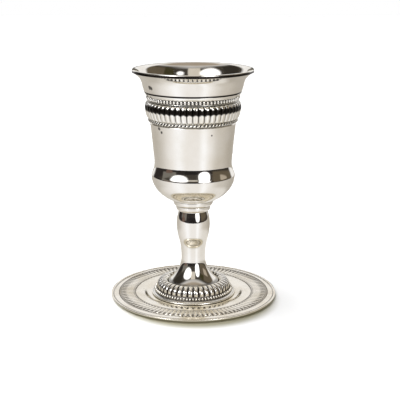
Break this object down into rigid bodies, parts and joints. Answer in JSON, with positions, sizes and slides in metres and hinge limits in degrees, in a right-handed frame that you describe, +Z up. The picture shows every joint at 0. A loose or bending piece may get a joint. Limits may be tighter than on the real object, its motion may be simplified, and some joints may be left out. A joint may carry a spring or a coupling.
{
  "type": "kiddush cup with saucer",
  "caption": "Footed silver ritual wine goblet with a flared lip, a beaded and gadrooned band, a baluster stem and a round gadrooned foot, standing on its own ringed saucer.",
  "frame": {"origin": "centre of the saucer's flat underside, on the table", "axes": "+Z up along the axis of the cup, the stem and the saucer; the shape is the same all round, and +X is only a reference direction"},
  "size_m": [0.103, 0.103, 0.1418],
  "materials": {
    "polished_silver_plate": "polished silver plate, mirror bright with fine wear",
    "oxidised_silver_relief": "silver plate relief, bright on the crests and dark in the recesses",
    "saucer_silver_plate": "softly polished silver plate, slightly tarnished"
  },
  "bodies": {
    "root": {"bowl": "polished_silver_plate", "gadroon_band": "oxidised_silver_relief", "stem": "polished_silver_plate", "foot": "oxidised_silver_relief", "saucer": "saucer_silver_plate"}
  },
  "joints": []
}
